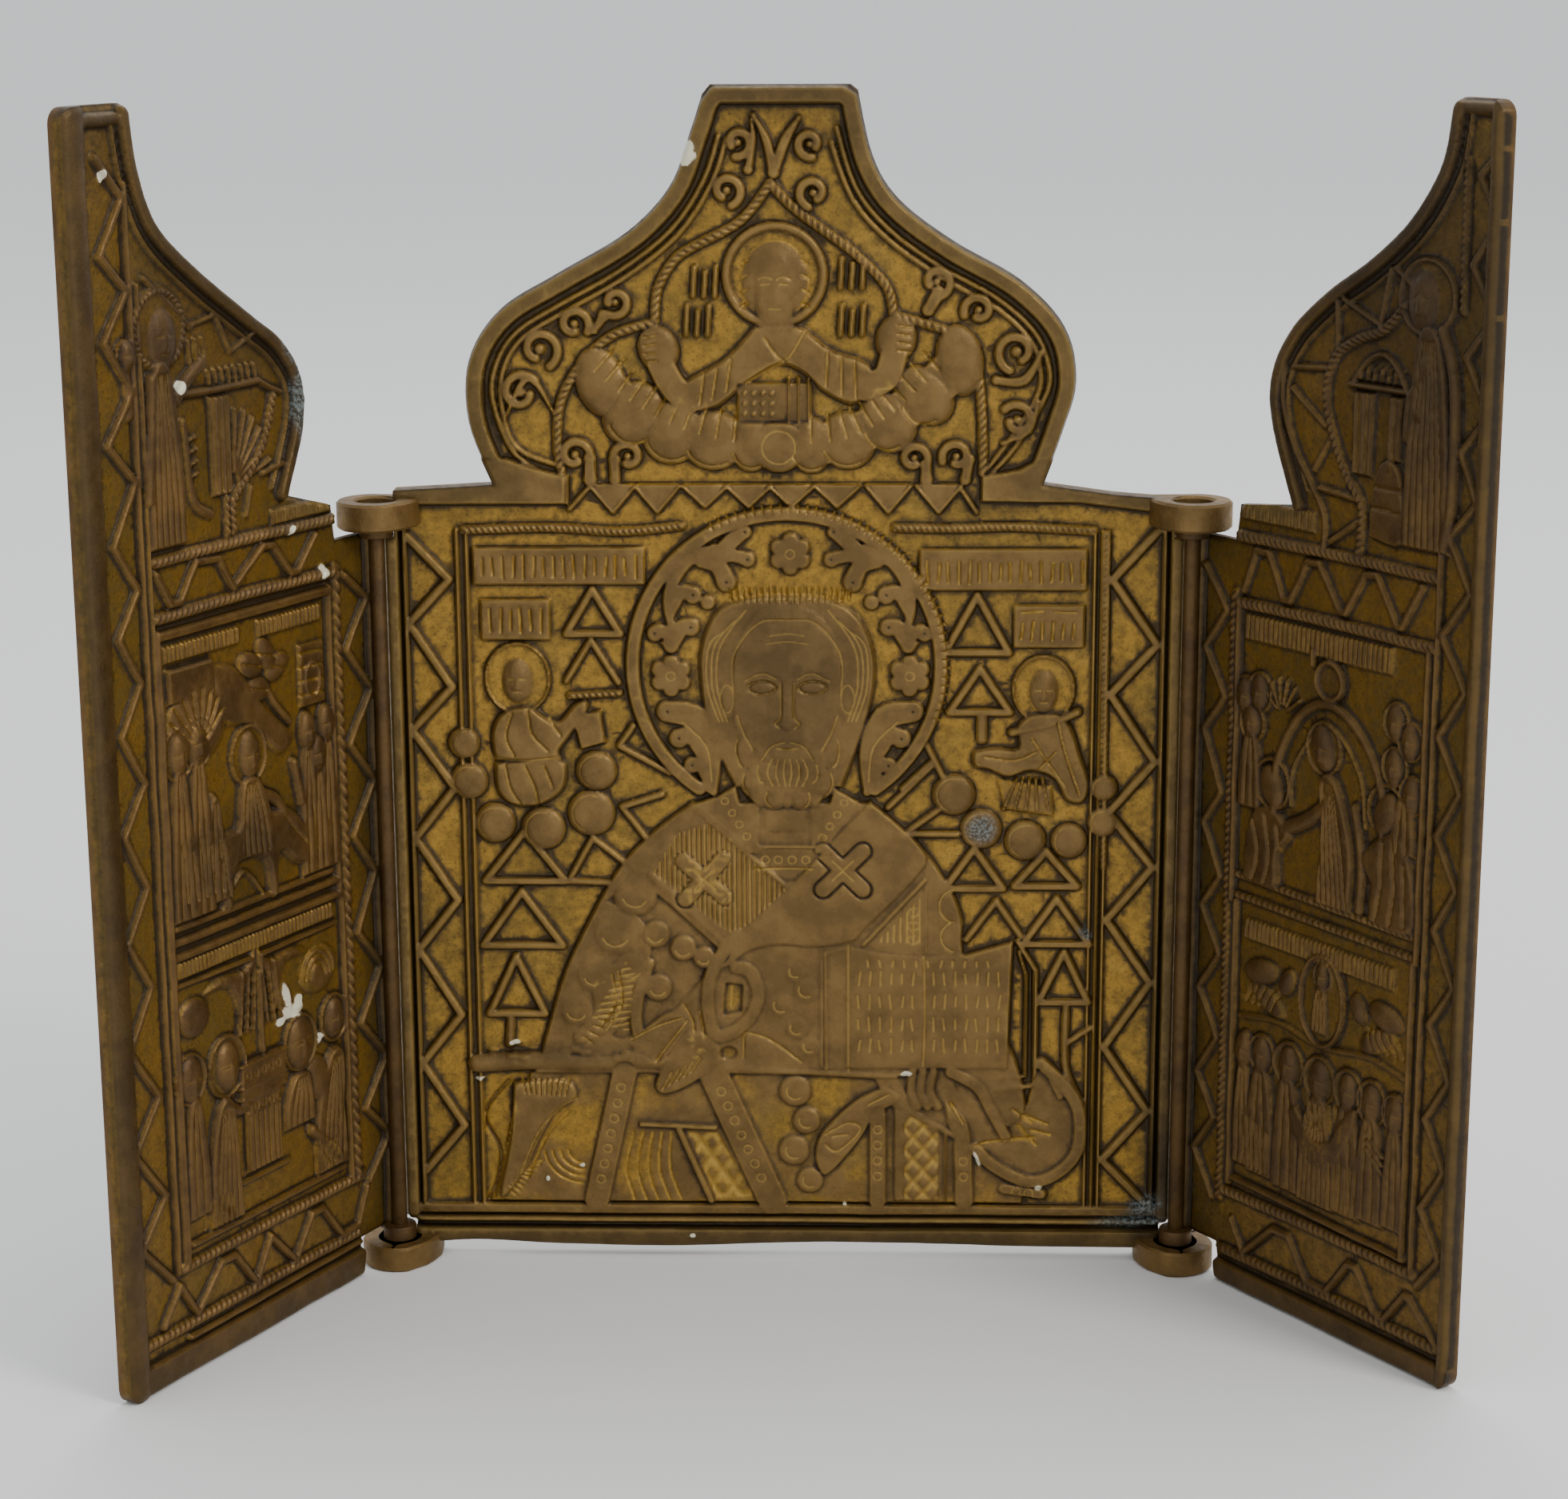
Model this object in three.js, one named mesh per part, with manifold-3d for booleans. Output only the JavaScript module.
// Folding cast-brass triptych: a keel-arched centre panel and two wings that swing on its lugs.
// Millimetres, +Z up. The centre panel's relief faces -Y.

import * as THREE from 'three';
import { mergeVertices } from 'three/addons/utils/BufferGeometryUtils.js';
import Module from 'manifold-3d';

const wasm = await Module();
wasm.setup();

// ---------------------------------------------------------------- driving dimensions

const PANEL_HALF_WIDTH = 48.0;
const PANEL_BOTTOM = 1.8;
const PANEL_FRONT = 0.0;
const RELIEF_DEPTH = 1.4;
const FRAME_HEIGHT = 0.9;
const PANEL_GROUND = PANEL_FRONT + FRAME_HEIGHT * RELIEF_DEPTH;
const PANEL_BACK = 3.8;
const KEEL_TOP = 147.5;
const FRAME_TOP = 94.6;
const RIM_WIDTH = 2.3;
const KEEL_MOULDING = 3.8;
const KEEL_STEPS = 10;
const MOULDING_STEPS = 6;

const HINGE_X = 49.4;
const HINGE_Y = -0.6;
const LUG_RADIUS = 4.7;
const LUG_ROOT_X = 44.2;
const EYE_RADIUS = 2.45;
const PINTLE_RADIUS = 2.1;
const PINTLE_ROOT = 0.4;
const PINTLE_GAP = 0.4;
const PINTLE_SHORT = 0.9;
const BOTTOM_LUG = { low: 0.0, high: 3.2 };
const TOP_LUG = { low: 95.0, high: 98.4 };
const PILLAR_RADIUS = 0.9;

const LEFT_WING_WIDTH = 51.4;
const RIGHT_WING_WIDTH = 47.2;
const WING_FACE = 0.6;
const WING_FRAME_HEIGHT = 0.7;
const WING_GROUND = WING_FACE + WING_FRAME_HEIGHT * RELIEF_DEPTH;
const WING_BACK = 3.4;
const WING_EDGE = -0.3;
const WING_NOTCH_LOW = 4.6;
const WING_NOTCH_HIGH = 94.2;
const LEFT_WING_OPEN = THREE.MathUtils.degToRad(62.1);
const RIGHT_WING_OPEN = THREE.MathUtils.degToRad(54.7);

const SINK = 0.3;
const ROUND_STEPS = 16;

// ---------------------------------------------------------------- solids

function toSolid(geometry) {
  const bare = geometry.index ? geometry.toNonIndexed() : geometry.clone();
  bare.deleteAttribute('normal');
  bare.deleteAttribute('uv');
  const welded = mergeVertices(bare, 1e-4);
  return new wasm.Manifold(new wasm.Mesh({
    numProp: 3,
    vertProperties: new Float32Array(welded.attributes.position.array),
    triVerts: new Uint32Array(welded.index.array),
  }));
}

function toGeometry(solid) {
  const mesh = solid.getMesh();
  const geometry = new THREE.BufferGeometry();
  geometry.setAttribute('position', new THREE.BufferAttribute(mesh.vertProperties, 3));
  geometry.setIndex(new THREE.BufferAttribute(mesh.triVerts, 1));
  geometry.computeVertexNormals();
  return geometry;
}

const joinAll = (solids) => solids.reduce((whole, solid) => whole.add(solid));

// A flat outline in the X-Z plane made solid from yFront to yBack.
function plate(shape, yFront, yBack) {
  const geometry = new THREE.ExtrudeGeometry(shape, {
    depth: yBack - yFront,
    bevelEnabled: false,
    curveSegments: 8,
  });
  geometry.rotateX(Math.PI / 2);
  geometry.translate(0, yBack, 0);
  return toSolid(geometry);
}

// An upright round bar, standing on z = low.
function upright(radius, x, y, low, high, steps = ROUND_STEPS) {
  const geometry = new THREE.CylinderGeometry(radius, radius, high - low, steps);
  geometry.rotateX(Math.PI / 2);
  geometry.translate(x, y, (low + high) / 2);
  return toSolid(geometry);
}

// ---------------------------------------------------------------- outlines

const asVectors = (points) => points.map(([x, z]) => new THREE.Vector2(x, z));
function smooth(points, steps) {
  return new THREE.SplineCurve(asVectors(points)).getPoints(steps).map((p) => [p.x, p.y]);
}

const shapeOf = (points) => new THREE.Shape(asVectors(points));

// Moves an outline sideways by a distance, to the left of its direction of travel.
function shifted(points, distance, closed) {
  const count = points.length;
  return points.map(([x, z], i) => {
    const before = points[closed ? (i + count - 1) % count : Math.max(i - 1, 0)];
    const after = points[closed ? (i + 1) % count : Math.min(i + 1, count - 1)];
    const into = new THREE.Vector2(x - before[0], z - before[1]);
    const out = new THREE.Vector2(after[0] - x, after[1] - z);
    if (into.lengthSq() === 0) into.copy(out);
    if (out.lengthSq() === 0) out.copy(into);
    into.normalize();
    out.normalize();
    const along = into.clone().add(out).normalize();
    const stretch = Math.min(1 / Math.max(along.dot(out), 0.4), 1.8);
    return [x - along.y * distance * stretch, z + along.x * distance * stretch];
  });
}

// A strip of even width along an open line.
function strip(points, width) {
  const left = shifted(points, width / 2, false);
  const right = shifted(points, -width / 2, false);
  return shapeOf([...left.reverse(), ...right]);
}

// A strip of even width inside a closed outline drawn anticlockwise.
function border(points, inset, width) {
  const shape = shapeOf(shifted(points, inset, true));
  shape.holes.push(new THREE.Path(asVectors(shifted(points, inset + width, true))));
  return shape;
}

function arcPoints(x, z, radiusX, radiusZ, from, to, steps) {
  return Array.from({ length: steps + 1 }, (_, i) => {
    const angle = THREE.MathUtils.degToRad(from + ((to - from) * i) / steps);
    return [x + radiusX * Math.cos(angle), z + radiusZ * Math.sin(angle)];
  });
}

// ---------------------------------------------------------------- relief

// Everything raised on one panel. Heights are shares of RELIEF_DEPTH, up from the sunk ground.
class Relief {
  constructor(ground) {
    this.ground = ground;
    this.solids = [];
  }

  raise(shape, height) {
    this.solids.push(plate(shape, this.ground - height * RELIEF_DEPTH, this.ground + SINK));
  }

  line(points, width, height) {
    this.raise(strip(points, width), height);
  }

  ring(x, z, radius, width, height, from = 0, to = 360, steps = 16) {
    if (to - from < 360) {
      this.line(arcPoints(x, z, radius, radius, from, to, steps), width, height);
      return;
    }
    const round = arcPoints(x, z, radius + width / 2, radius + width / 2, 0, 360, steps);
    this.raise(border(round.slice(0, -1), 0, width), height);
  }

  dome(x, z, radiusX, radiusZ, height, tilt = 0, steps = 6) {
    const geometry = new THREE.SphereGeometry(1, steps, 4);
    geometry.rotateX(Math.PI / 2);
    geometry.scale(radiusX, height * RELIEF_DEPTH, radiusZ);
    geometry.rotateY(THREE.MathUtils.degToRad(tilt));
    geometry.translate(x, this.ground, z);
    this.solids.push(toSolid(geometry));
  }

  // A scrolled leaf end: an open loop.
  volute(x, z, radius) {
    this.line(arcPoints(x, z, radius, radius, -50, 190, 3), 0.9, 0.55);
  }

  // People standing close together: one mass of robes with their heads above it.
  crowd({ from, to, foot, top, heads }) {
    this.raise(shapeOf([[from, foot], [to, foot], [to - 0.4, top], [from + 0.4, top]]), 0.45);
    for (const x of heads) this.dome(x, top + 1.4, 1.7, 2.3, 0.65, 0, 5);
  }

  // A small haloed figure: halo, head and a robe that spreads downwards.
  figure({ x, headZ, halo, foot, width, height = 0.5 }) {
    const neck = headZ - halo * 0.75;
    this.raise(shapeOf(arcPoints(x, headZ, halo, halo, 0, 300, 5)), height * 0.6);
    this.dome(x, headZ, halo * 0.5, halo * 0.68, height + 0.1, 0, 5);
    this.raise(shapeOf([
      [x - width * 0.5, foot],
      [x + width * 0.5, foot],
      [x + width * 0.26, neck],
      [x - width * 0.26, neck],
    ]), height);
  }
}

// ---------------------------------------------------------------- centre panel

// The keel-arched top, from the left shoulder over the apex and down to the right shoulder.
const KEEL_LEFT = [[-35.2, 100], [-38, 107.5], [-37.8, 115], [-34, 121], [-27, 125.3], [-18.6, 130.2],
  [-13.4, 135.6], [-11, 141.6], [-9.2, 147]];
const KEEL_RIGHT = [[9, 146.8], [10.8, 139], [14, 133.9], [20.5, 129], [28.5, 124.4], [33.8, 118.8],
  [35.2, 112.4], [33.7, 106.5], [31.4, 100]];

// The keel outline drawn a distance inside its edge, left foot first.
function keelLine(inset = 0, steps = KEEL_STEPS) {
  const top = KEEL_TOP - inset;
  const below = ([, z]) => z < top - 0.9;
  const left = shifted(smooth(KEEL_LEFT, steps), -inset, false).filter(below);
  const right = shifted(smooth(KEEL_RIGHT, steps), -inset, false).filter(below);
  const corner = 0.8;
  return [...left, [left.at(-1)[0] + corner, top], [right[0][0] - corner, top], ...right];
}

function panelOutline() {
  const side = PANEL_HALF_WIDTH;
  return [[-side, PANEL_BOTTOM], [-40, PANEL_BOTTOM + 0.6], [-15, PANEL_BOTTOM - 0.1],
    [12, PANEL_BOTTOM + 0.5], [side, PANEL_BOTTOM], [side, 98.2], [40, 98.8], ...keelLine().reverse(),
    [-side, 99.4]];
}

// A lug: a round eye at the hinge line, faired in plan into the panel's front corner.
function lugSolid(side, span) {
  const plan = [
    ...arcPoints(HINGE_X, HINGE_Y, LUG_RADIUS, LUG_RADIUS, -110, 75, 11),
    [LUG_ROOT_X, PANEL_BACK - 0.4],
    [LUG_ROOT_X, PANEL_FRONT + 0.2],
    [LUG_ROOT_X + 1.4, -2.9],
  ].map(([x, y]) => [x * side, y]);
  const shape = shapeOf(side > 0 ? plan : plan.reverse());
  const geometry = new THREE.ExtrudeGeometry(shape, { depth: span.high - span.low, bevelEnabled: false });
  geometry.translate(0, 0, span.low);
  return toSolid(geometry);
}

// The eyes run on past the lugs' inner sides, as pockets that clear the roots of the pintles.
function eyes(side) {
  const x = side * HINGE_X;
  const lowEnd = WING_NOTCH_LOW + PINTLE_ROOT + PINTLE_GAP;
  const highStart = WING_NOTCH_HIGH - PINTLE_ROOT - PINTLE_GAP;
  const below = upright(EYE_RADIUS, x, HINGE_Y, BOTTOM_LUG.low - 1, lowEnd);
  const above = upright(EYE_RADIUS, x, HINGE_Y, highStart, TOP_LUG.high + 1);
  return below.add(above);
}

function raiseCentreFrames(relief) {
  const side = PANEL_HALF_WIDTH;
  relief.raise(shapeOf([...keelLine(), ...keelLine(RIM_WIDTH).reverse()]), 0.9);
  relief.line(keelLine(KEEL_MOULDING, MOULDING_STEPS), 0.8, 0.55);
  relief.line([[-side, 98.4], [-26.3, 98.6]], 2.2, 0.8);
  relief.line([[23.6, 98.4], [side, 97.2]], 2.0, 0.8);
  for (const [x, width] of [[-side + 0.9, 1.8], [side - 0.9, 1.8], [-39.8, 1.0], [38.5, 1.0]]) {
    relief.line([[x, 7], [x, Math.abs(x) > 45 ? 97.5 : 93.5]], width, 0.8);
  }
  relief.line([[-side, 2.9], [side, 3.1]], 2.4, 0.9);
  relief.line([[-side, 5.1], [side, 5.1]], 0.7, 0.7);
  relief.line([[-side, 6.7], [side, 6.7]], 1.3, 0.55);
  relief.line([[-39, FRAME_TOP], [-12, FRAME_TOP + 0.2]], 0.9, 0.7);
  relief.line([[13.5, FRAME_TOP], [38, FRAME_TOP + 0.3]], 0.9, 0.7);
  const leftOuter = [93.7, 82.8, 69.3, 55.5, 41, 26, 11.5];
  const leftInner = [88.3, 74.8, 62, 47.5, 32.4, 17.7];
  const rightOuter = [94.5, 80.2, 65.5, 52, 37, 20, 8];
  const rightInner = [88.3, 74, 59, 45.2, 28.5, 13.5];
  const weave = (outer, inner, xOut, xIn) => outer.flatMap((z, i) => (
    i < inner.length ? [[xOut, z], [xIn, inner[i]]] : [[xOut, z]]));
  relief.line(weave(leftOuter, leftInner, -45.9, -41.2), 1.1, 0.6);
  relief.line(weave(rightOuter, rightInner, 45.2, 40), 1.1, 0.6);
}

function raiseTriangles(relief) {
  for (const x of [-20.7, -15.3, -9.3, -4, 1, 6.4, 12.8, 18.7]) {
    relief.line([[x - 2.5, 99.6], [x, 96.4], [x + 2.5, 99.6]], 0.7, 0.5);
  }
  const frames = [[-23.3, 87, 3.3, 81.3], [-23.5, 80.7, 3.3, 75.6], [-32.2, 56.3, 5, 50], [-24, 55.4,
      3.8, 49.8],
    [-32.9, 48.6, 5, 41.6], [-34, 40.1, 3.4, 32.6], [23.6, 86.3, 3.7, 79], [24, 77.2, 3.7, 71.6],
    [23.5, 54.4, 3.6, 49.1], [32.4, 54, 3.8, 49.2], [33.8, 47.9, 4, 42], [34.8, 41, 3.2, 34.2]];
  for (const [x, top, half, low] of frames) {
    relief.raise(border([[x - half, low], [x + half, low], [x, top]], 0, 0.8), 0.6);
  }
  relief.line([[22.4, 42.4], [26.3, 47.4], [29.6, 42.6]], 0.9, 0.6);
  relief.line([[-34.6, 32.4], [-35, 28.5]], 0.9, 0.6);
  relief.line([[34.8, 34], [34.6, 27], [36.4, 22]], 1.0, 0.6);
  for (const [x0, z0, x1, z1] of [[-19, 70, -15.6, 65.5], [-20.5, 61, -15, 62.2], [-20, 57, -14.6, 59.6],
    [17.6, 66, 19.8, 62], [16.2, 62.6, 19.2, 58.4], [15.6, 56.4, 20.8, 55.6]]) {
    relief.line([[x0, z0], [x1, z1]], 0.9, 0.55);
  }
  for (const [x0, x1, z0, z1] of [[-38.3, -16.8, 87.5, 92.3], [-37.3, -28.5, 80.6, 85.8],
    [16.6, 37, 87, 92], [28, 36.8, 79.8, 85.2]]) {
    relief.raise(shapeOf([[x0, z0], [x1, z0], [x1, z1], [x0, z1]]), 0.4);
  }
}

function raiseKeelFigure(relief) {
  relief.line(smooth([[-27.2, 99], [-27, 110], [-24, 115.5], [-19, 119], [-15.4, 119.7]], 5), 1.1, 0.7);
  relief.line(smooth([[-15.4, 119.7], [-14.4, 125.2], [-8, 130.8], [-1.3, 136.3]], 4), 1.1, 0.7);
  relief.line(smooth([[-1.3, 136.3], [4, 131.8], [10.4, 127], [12.6, 120.6]], 4), 1.1, 0.7);
  relief.line(smooth([[12.6, 120.6], [19, 119.5], [23, 115.5], [24.5, 110], [24, 99]], 5), 1.1, 0.7);
  relief.ring(-1, 125.1, 5.9, 1.2, 0.7, 0, 360, 12);
  relief.dome(-1.2, 123.4, 2.7, 4.9, 1.0, 0, 8);
  relief.raise(shapeOf([[-9, 108.4], [9, 108.4], [8.6, 113.5], [3.6, 118.6], [-5.4, 118.6],
    [-10.6, 113.6]]), 0.6);
  relief.line(smooth([[-5.4, 115.4], [-10.6, 111.8], [-14, 114.8], [-14.4, 117.6]], 6), 3.2, 0.7);
  relief.line(smooth([[3.4, 115.6], [8.6, 112], [12, 114.8], [13.2, 118]], 6), 3.2, 0.7);
  relief.dome(-14.3, 116.6, 1.9, 2.5, 0.9);
  relief.dome(13.6, 117.6, 1.7, 2.3, 0.9);
  const cloud = [[-24, 113], [-20.6, 110], [-14.6, 106.2], [-7.6, 104.6], [-0.7, 104.2], [6, 104.7],
    [12.8, 106.6], [17.4, 110], [21.6, 115.4]];
  relief.line(cloud, 4.8, 0.75);
  relief.dome(-0.7, 104.8, 2.5, 2.5, 0.9);
  relief.dome(21.6, 115, 2.2, 2.8, 0.9);
  for (const [x, z, radius] of [[-31.5, 110, 2.3], [-28, 117, 2.5], [-20, 121.6, 1.9], [-24.5, 103, 2],
    [-19, 103.2, 2], [-5.4, 139.8, 1.7], [-6.6, 135.2, 1.8], [3.4, 139.6, 1.7], [3.8, 135, 1.8],
    [24, 120.8, 2], [27.6, 116.6, 2.5], [27.8, 107.6, 2.1], [16.4, 103, 1.9], [20.6, 103.4, 1.9]]) {
    relief.volute(x, z, radius);
  }
}

function raiseSaint(relief) {
  const haloX = 0.3;
  const haloZ = 77.5;
  const robe = [[-38, 7.4], [30, 7.4], [31, 10.4], [25, 14], [28, 26], [28.6, 42], [22.3, 43.5], [20, 50],
    [15.4, 56], [10.6, 60], [-11.5, 60], [-19.5, 53], [-24, 46.5], [-28, 38], [-31, 28], [-33.5, 21]];
  relief.raise(shapeOf(robe), 0.5);
  relief.line(arcPoints(haloX, haloZ, 18.9, 18.9, -56, 236, 20), 1.5, 0.75);
  // stole crossing at the breast
  relief.line([[-15.4, 54.4], [1.5, 49.4], [9.6, 58.6]], 5.2, 0.75);
  relief.line([[-8.4, 48.4], [-5.6, 42]], 7.5, 0.72);
  relief.raise(shapeOf([[-8.2, 41.2], [-2.2, 43.4], [22.3, 41.4], [20, 50], [15, 56], [10.5, 59.6], [0.6, 48],
    [-4, 45.6]]), 0.7);
  for (const [x, z] of [[-9.5, 51], [6.4, 50.4]]) {
    relief.line([[x - 3, z - 2.2], [x + 3, z + 2.2]], 1.9, 0.95);
    relief.line([[x - 2.2, z + 3], [x + 2.2, z - 3]], 1.9, 0.95);
  }
  // beard, hair, face and neck cloth
  relief.raise(shapeOf([[-9.6, 74], [-9.4, 70.4], [-6.4, 63.8], [-3.4, 59.6], [3.4, 59.4], [6.8, 63.6],
    [9.8, 70.4], [10.2, 74]]), 0.75);
  relief.dome(0.3, 76.6, 10.6, 9.8, 0.95, 0, 10);
  relief.dome(0.3, 75.2, 6.6, 9.6, 1.25, 0, 10);
  relief.raise(shapeOf([[-3.4, 55], [3.4, 55], [3, 59.6], [-3, 59.6]]), 0.7);
  relief.line([[0.3, 77], [0.3, 71.8]], 1.3, 1.35);
  // book held at the right, and the hand and bands at the left
  relief.raise(shapeOf([[4.2, 25.6], [28.4, 25.6], [28.6, 42.4], [4.2, 42.4]]), 0.8);
  relief.line([[5.2, 26], [5.2, 42]], 1.2, 1.0);
  relief.line([[17.2, 26], [17.2, 42]], 0.6, 0.95);
  relief.line([[28.9, 26], [28.9, 42.2], [30.9, 38.6], [30.9, 23.4], [25.6, 23]], 0.8, 0.75);
  for (const z of [39, 36, 33, 30, 27.4]) relief.line([[8.6, z], [27, z]], 0.7, 0.92);
  relief.ring(-6.8, 34, 3.2, 1.2, 0.8, 0, 360, 12);
  for (const [x, z, radius] of [[-21.5, 48.2, 2.9], [-23.8, 43.4, 3.2], [-26.6, 37.4, 2.6], [-28.6, 33,
      2.2]]) {
    relief.dome(x, z, radius, radius, 0.75);
  }
  relief.line([[-38.6, 26.6], [-12, 26.2]], 2.2, 0.65);
  relief.line(smooth([[20, 25.2], [26.4, 21.4], [27.4, 16], [32, 12.6], [36, 15.4], [36.6, 20.6], [32.6,
      25.6]],
    8), 2.6, 0.75);
  for (const [x0, z0, x1, z1] of [[-34.6, 24, -37.4, 9], [-21, 24, -25, 8.4], [-17.6, 24, -11.6, 8.4],
    [-5.8, 24, 2.6, 8.4], [9.6, 22, 4.4, 11], [12, 24, 12.4, 8.4], [19, 18, 19.4, 8.4]]) {
    relief.line([[x0, z0], [x1, z1]], 1.0, 0.72);
  }
}

function raiseAttendants(relief) {
  relief.figure({ x: -33.2, headZ: 75.4, halo: 4.2, foot: 61, width: 7.5 });
  relief.line([[-30.4, 66.4], [-21.8, 70.2]], 4.2, 0.55);
  relief.figure({ x: 31.4, headZ: 74.6, halo: 3.9, foot: 60.4, width: 7 });
  relief.line([[31, 68], [35.4, 60]], 4.2, 0.55);
  relief.line([[29.6, 66.6], [24, 66.4]], 3, 0.55);
  for (const [x, z, radius] of [[-39.6, 67.6, 2], [-39, 62.8, 2.4], [-36, 57.6, 2.6], [-30, 56.8, 2.7],
    [-24, 58.6, 2.9], [-23.4, 64, 2.5], [20.9, 61.2, 2.6], [24.2, 57, 2.5], [29.8, 55.4, 2.5],
    [35.2, 55.4, 2.3], [39.5, 62.2, 1.7], [39.5, 57.8, 1.9]]) {
    relief.dome(x, z, radius, radius, 0.8);
  }
}

function centrePanel() {
  const relief = new Relief(PANEL_GROUND);
  raiseCentreFrames(relief);
  raiseTriangles(relief);
  raiseKeelFigure(relief);
  raiseSaint(relief);
  raiseAttendants(relief);
  const outline = shapeOf(panelOutline());
  let casting = plate(outline, PANEL_GROUND, PANEL_BACK);
  const trim = plate(outline, -3, PANEL_BACK);
  casting = casting.add(joinAll(relief.solids).intersect(trim));
  for (const side of [-1, 1]) {
    for (const span of [BOTTOM_LUG, TOP_LUG]) casting = casting.add(lugSolid(side, span));
    casting = casting.subtract(eyes(side));
  }
  return casting;
}

// ---------------------------------------------------------------- wings

// A wing is drawn flat open, in s (away from the hinge line) and z; side is -1 on the left, 1 on the right.
const LEFT_SLOPE = [[40.3, 146.6], [39.4, 140.6], [36.8, 134.6], [31, 129.6], [22, 123.6], [15.6, 119.4],
  [12.1, 114.4], [12.4, 108.4], [15.6, 101.2]];
const RIGHT_SLOPE = [[39.6, 146.6], [38.4, 140.6], [34.4, 134.8], [28.4, 129.8], [20.6, 125], [14.8, 120],
  [12, 114.4], [12.6, 108.4], [16.3, 99.8]];

function wingOutline({ width, slope }) {
  const corner = 1.8;
  const foot = arcPoints(width - corner, corner, corner, corner, -90, 0, 4);
  const head = arcPoints(width - corner, KEEL_TOP - corner, corner, corner, 0, 90, 4);
  return [[WING_EDGE, WING_NOTCH_LOW], [5.6, WING_NOTCH_LOW], [6.4, 0], ...foot, ...head,
    [slope[0][0] + 0.8, KEEL_TOP], ...smooth(slope, KEEL_STEPS), [6.5, 98.6], [5.9, WING_NOTCH_HIGH],
    [WING_EDGE, WING_NOTCH_HIGH]];
}

function raiseWingFrames(relief, wing) {
  const { width, slope, rows } = wing;
  const outline = smooth(slope, KEEL_STEPS);
  relief.line(shifted(outline, 1.1, false), 2.0, 0.7);
  relief.line(shifted(smooth(slope, MOULDING_STEPS), 3.0, false), 0.7, 0.45);
  relief.line([[width - 1.2, 1], [width - 1.2, KEEL_TOP - 1]], 2.0, 0.4);
  relief.line([[wing.moulding, 1], [wing.moulding, KEEL_TOP - 1]], wing.mouldingWidth, 0.7);
  relief.line([[slope[0][0] + 0.6, KEEL_TOP - 1.1], [width - 1, KEEL_TOP - 1.1]], 2.0, 0.6);
  relief.line([[6.3, 2], [width - 1, 2]], 3.6, 0.6);
  relief.line([[0.4, WING_NOTCH_LOW], [0.4, WING_NOTCH_HIGH]], 1.2, 0.7);
  relief.line([[6.5, 6], [6.5, 96]], 1.1, 0.6);
  relief.line([[40.9, 13], [40.9, 118]], 1.4, 0.6);
  for (const z of rows.ropes) relief.line([[6.5, z], [40.4, z]], 1.1, 0.65);
  for (const z of rows.bands) relief.line([[8.4, z], [39.6, z]], 1.3, 0.55);
  relief.line(climb(5.6, wing.outerTop, wing.pitch, wing.columnOut, wing.columnIn), 1.0, 0.5);
  relief.line(climb(6.4, 90, wing.pitch, 1.2, 5.2), 1.0, 0.5);
  relief.line(acrossZigzag(9, 39, rows.top[0], rows.top[1], 6.6), 0.9, 0.5);
  relief.line(acrossZigzag(9, 39, 7.0, 11.6, 5.4), 0.9, 0.5);
}

// Turning points of a zigzag column: z from low to high, leaning between two s values.
function climb(low, high, pitch, sA, sB) {
  const points = [];
  for (let z = low, i = 0; z <= high; z += pitch / 2, i += 1) points.push([i % 2 ? sB : sA, z]);
  return points;
}

function acrossZigzag(from, to, low, high, pitch) {
  const points = [];
  for (let s = from, i = 0; s <= to; s += pitch / 2, i += 1) points.push([s, i % 2 ? low : high]);
  return points;
}

function raiseStandingSaint(relief, { s, top, foot }) {
  relief.ring(s, top - 4.6, 4.4, 0.9, 0.6, 0, 360, 8);
  relief.dome(s, top - 5.2, 2.1, 3.6, 0.9);
  relief.raise(shapeOf([[s - 2.8, foot], [s + 4, foot], [s + 4.4, (foot + top) / 2], [s + 2.4, top - 8.6],
    [s - 2, top - 8.6], [s - 3.4, (foot + top) / 2]]), 0.65);
  relief.line([[s - 2.6, top - 14], [s + 2, top - 12.4]], 2.4, 0.85);
}

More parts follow.
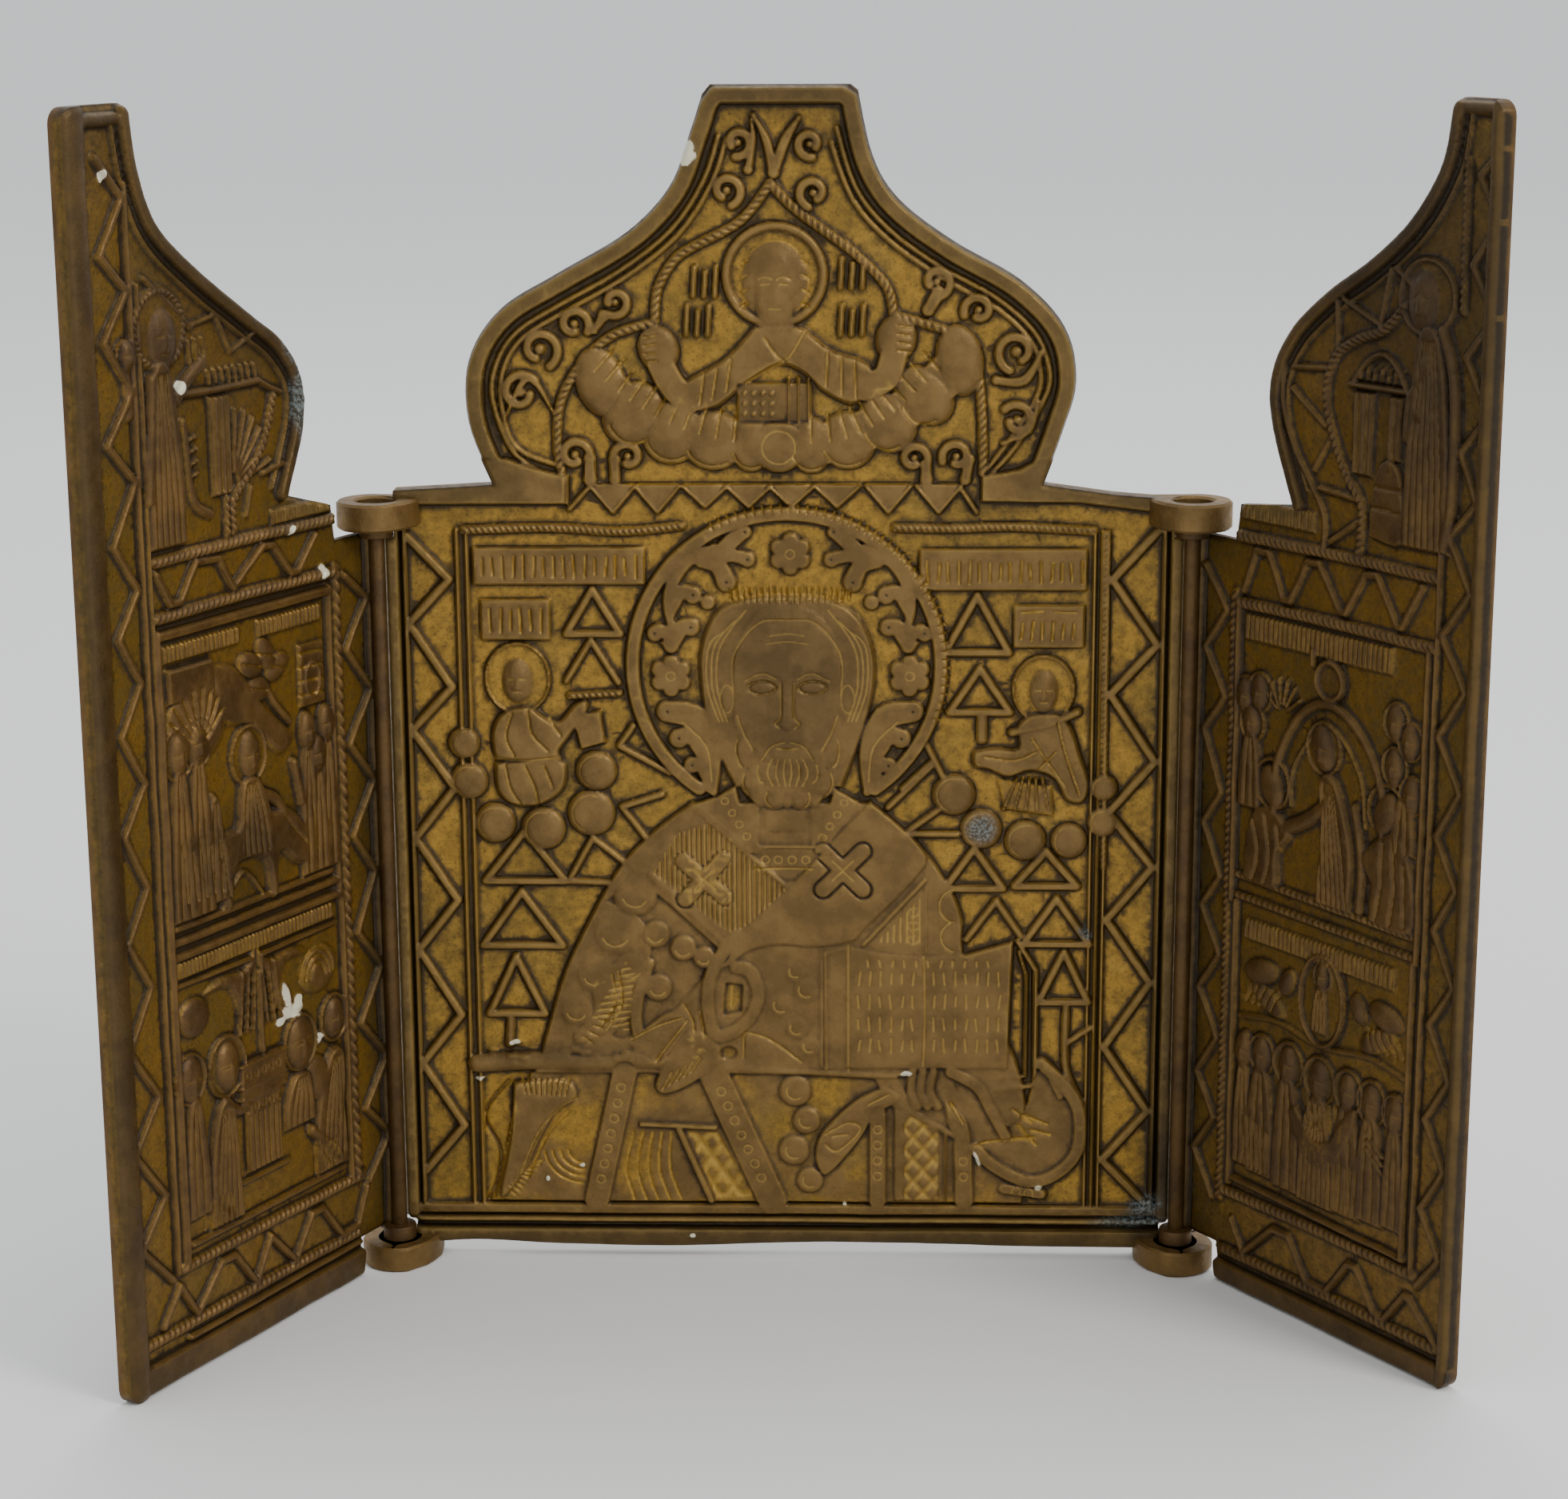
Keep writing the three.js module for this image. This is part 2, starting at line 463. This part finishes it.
function raiseLeftWing(relief) {
  raiseStandingSaint(relief, { s: 37, top: 127.6, foot: 98.4 });
  relief.dome(42.6, 120.4, 1.5, 1.8, 0.7);
  relief.line([[28, 103.4], [28, 114.6]], 2.6, 0.55);
  relief.line([[21, 114.4], [34.6, 114.8]], 1.0, 0.6);
  relief.line(smooth([[25.4, 98.6], [24.8, 102.4], [20, 106.4], [18, 111]], 6), 1.2, 0.6);
  // entry scene: hill, rider and animal, crowd before a gate, tree
  relief.raise(shapeOf([[39, 84.4], [30.4, 84.4], [19, 73.4], [24.6, 77], [31, 73], [38.8, 76.6]]), 0.45);
  relief.figure({ x: 24.6, headZ: 71.4, halo: 3.6, foot: 60.4, width: 8.4, height: 0.6 });
  relief.raise(shapeOf([[32, 63.4], [30.4, 59.8], [29, 55.6], [26.6, 58.8], [22, 58.6], [20.6, 54.4],
      [19, 58.4],
    [15, 57], [13.4, 61.4], [19.4, 63], [27, 63.8]]), 0.6);
  relief.crowd({ from: 31.6, to: 39.2, foot: 55.6, top: 71.4, heads: [37.4, 33.4] });
  relief.crowd({ from: 8.6, to: 13.4, foot: 56.4, top: 71, heads: [13.6, 9.8] });
  for (const [s, z] of [[23.4, 82.2], [18.4, 81], [22.6, 79.4]]) relief.dome(s, z, 2.3, 1.5, 0.55);
  relief.line([[12.6, 75.4], [12.6, 82.6]], 4.4, 0.5);
  relief.line([[24.8, 54], [31, 54]], 1.0, 0.4);
  // lower scene: altar between standing figures under a swag
  relief.raise(shapeOf([[29.6, 44.6], [24.6, 49.4], [20, 44.6], [24.8, 46.2]]), 0.55);
  for (const [s, z, foot] of [[35.4, 37.6, 17], [31.6, 38.6, 17], [16, 37.4, 17], [12, 38.2, 17]]) {
    relief.figure({ x: s, headZ: z, halo: 2.8, foot, width: 4.4 });
  }
  relief.raise(shapeOf([[20.6, 17.4], [28, 17.4], [27.4, 30.6], [21.2, 30.6]]), 0.55);
}

function raiseRightWing(relief) {
  raiseStandingSaint(relief, { s: 37.4, top: 130, foot: 97.4 });
  relief.line([[27.4, 104.6], [27.4, 114.6]], 3.4, 0.5);
  relief.line([[31.4, 97.4], [31.4, 107]], 3, 0.5);
  relief.ring(30, 114.4, 4.6, 0.9, 0.5, 0, 180, 5);
  relief.line(smooth([[27.6, 96], [27.2, 101.4], [22.6, 107.6], [21.4, 114], [25, 118.4], [32, 122.4]],
      9), 1.2, 0.6);
  // descent scene: arched glory, striding figure, kneeling pair, crowds and a disc above
  relief.line(arcPoints(23, 66, 7.6, 11, 0, 180, 8), 1.2, 0.6);
  relief.dome(23.5, 80.2, 2.5, 2.5, 0.7);
  relief.dome(22.9, 71.4, 1.9, 2.8, 0.8);
  relief.raise(shapeOf([[20.4, 53.2], [29.4, 53.2], [29.6, 64], [26.8, 69.6], [24.2, 68.6], [24.4, 60]]),
      0.65);
  relief.line([[23.4, 64.4], [16.2, 60.6]], 2.2, 0.6);
  relief.ring(14.6, 66.2, 3.4, 0.8, 0.5, -60, 160, 5);
  relief.dome(13.8, 65, 2.2, 3.2, 0.8, 20);
  relief.raise(shapeOf([[9.4, 53.2], [15.4, 53.2], [15.2, 57.6], [17, 61], [12, 63.4], [9.8, 60]]), 0.6);
  relief.dome(33.4, 65, 1.6, 2.6, 0.8, -20);
  relief.raise(shapeOf([[31.4, 53.2], [38.8, 53.2], [38.6, 62], [34, 65.4], [31.8, 60]]), 0.6);
  relief.crowd({ from: 7.6, to: 14, foot: 66.8, top: 74.6, heads: [8.6, 11.6] });
  relief.crowd({ from: 32.6, to: 38.8, foot: 66.8, top: 75, heads: [34.4, 37.4] });
  // lower scene: a figure in glory above a row of standing saints
  relief.ring(24, 41.4, 5, 1, 0.6, 0, 360, 8);
  relief.figure({ x: 24, headZ: 43.4, halo: 2, foot: 36.8, width: 4 });
  for (const s of [12, 16.8, 24, 31.2, 36]) {
    relief.figure({ x: s, headZ: s === 24 ? 31.4 : 33, halo: 2.3, foot: 16.8, width: 3.8 });
  }
}

function pintles() {
  const low = upright(PINTLE_RADIUS, 0, 0, BOTTOM_LUG.low + PINTLE_SHORT, WING_NOTCH_LOW + PINTLE_ROOT);
  const high = upright(PINTLE_RADIUS, 0, 0, WING_NOTCH_HIGH - PINTLE_ROOT, TOP_LUG.high - PINTLE_SHORT);
  const pillar = upright(PILLAR_RADIUS, 0, 0, WING_NOTCH_LOW, WING_NOTCH_HIGH, 8);
  return joinAll([pillar, low, high]);
}

function wing(settings) {
  const relief = new Relief(WING_GROUND);
  raiseWingFrames(relief, settings);
  settings.scenes(relief);
  const outline = shapeOf(wingOutline(settings));
  const trim = plate(outline, -2, WING_BACK);
  const flat = plate(outline, WING_GROUND, WING_BACK);
  const hinge = pintles().add(plate(shapeOf([[WING_EDGE, WING_NOTCH_LOW], [1.2, WING_NOTCH_LOW],
    [1.2, WING_NOTCH_HIGH], [WING_EDGE, WING_NOTCH_HIGH]]), WING_FACE - 0.3, WING_GROUND + SINK));
  return toGeometry(flat.add(joinAll(relief.solids).intersect(trim)).add(hinge));
}

// ---------------------------------------------------------------- assembly

function mirror(geometry) {
  const turned = geometry.index.array;
  for (let i = 0; i < turned.length; i += 3) [turned[i], turned[i + 1]] = [turned[i + 1], turned[i]];
  geometry.scale(-1, 1, 1);
  return geometry;
}

const LEFT_WING = {
  width: LEFT_WING_WIDTH,
  slope: LEFT_SLOPE,
  moulding: 48.2,
  mouldingWidth: 2.0,
  columnOut: 46,
  columnIn: 42.6,
  pitch: 11.6,
  outerTop: 142,
  rows: { ropes: [6, 13, 90.8, 97.3], bands: [15.4, 51, 53.2, 88.4], top: [92, 96.2] },
  scenes: raiseLeftWing,
};

const RIGHT_WING = {
  width: RIGHT_WING_WIDTH,
  slope: RIGHT_SLOPE,
  moulding: 45.6,
  mouldingWidth: 1.0,
  columnOut: 44.6,
  columnIn: 41.8,
  pitch: 11.2,
  outerTop: 142,
  rows: { ropes: [6, 13, 87, 95.5], bands: [15, 50, 52.4], top: [88.2, 94.2] },
  scenes: raiseRightWing,
};

const brass = (color) => new THREE.MeshStandardMaterial({ color, roughness: 0.5, metalness: 0.85 });

const centre = new THREE.Mesh(toGeometry(centrePanel()), brass('#8a6f32'));
centre.name = 'centre_panel';

const rightWing = new THREE.Mesh(wing(RIGHT_WING), brass('#75602f'));
rightWing.name = 'right_wing';
rightWing.position.set(HINGE_X, HINGE_Y, 0);
rightWing.rotation.z = -RIGHT_WING_OPEN;

const leftWing = new THREE.Mesh(mirror(wing(LEFT_WING)), brass('#75602f'));
leftWing.name = 'left_wing';
leftWing.position.set(-HINGE_X, HINGE_Y, 0);
leftWing.rotation.z = LEFT_WING_OPEN;

// The origin is under the middle of the whole stand, on the surface it rests on.
const triptych = new THREE.Group();
triptych.name = 'triptych';
triptych.add(centre, leftWing, rightWing);
triptych.updateMatrixWorld(true);
const reach = new THREE.Box3().setFromObject(triptych, true);
triptych.position.set(-(reach.min.x + reach.max.x) / 2, -(reach.min.y + reach.max.y) / 2, -reach.min.z);

export default triptych;
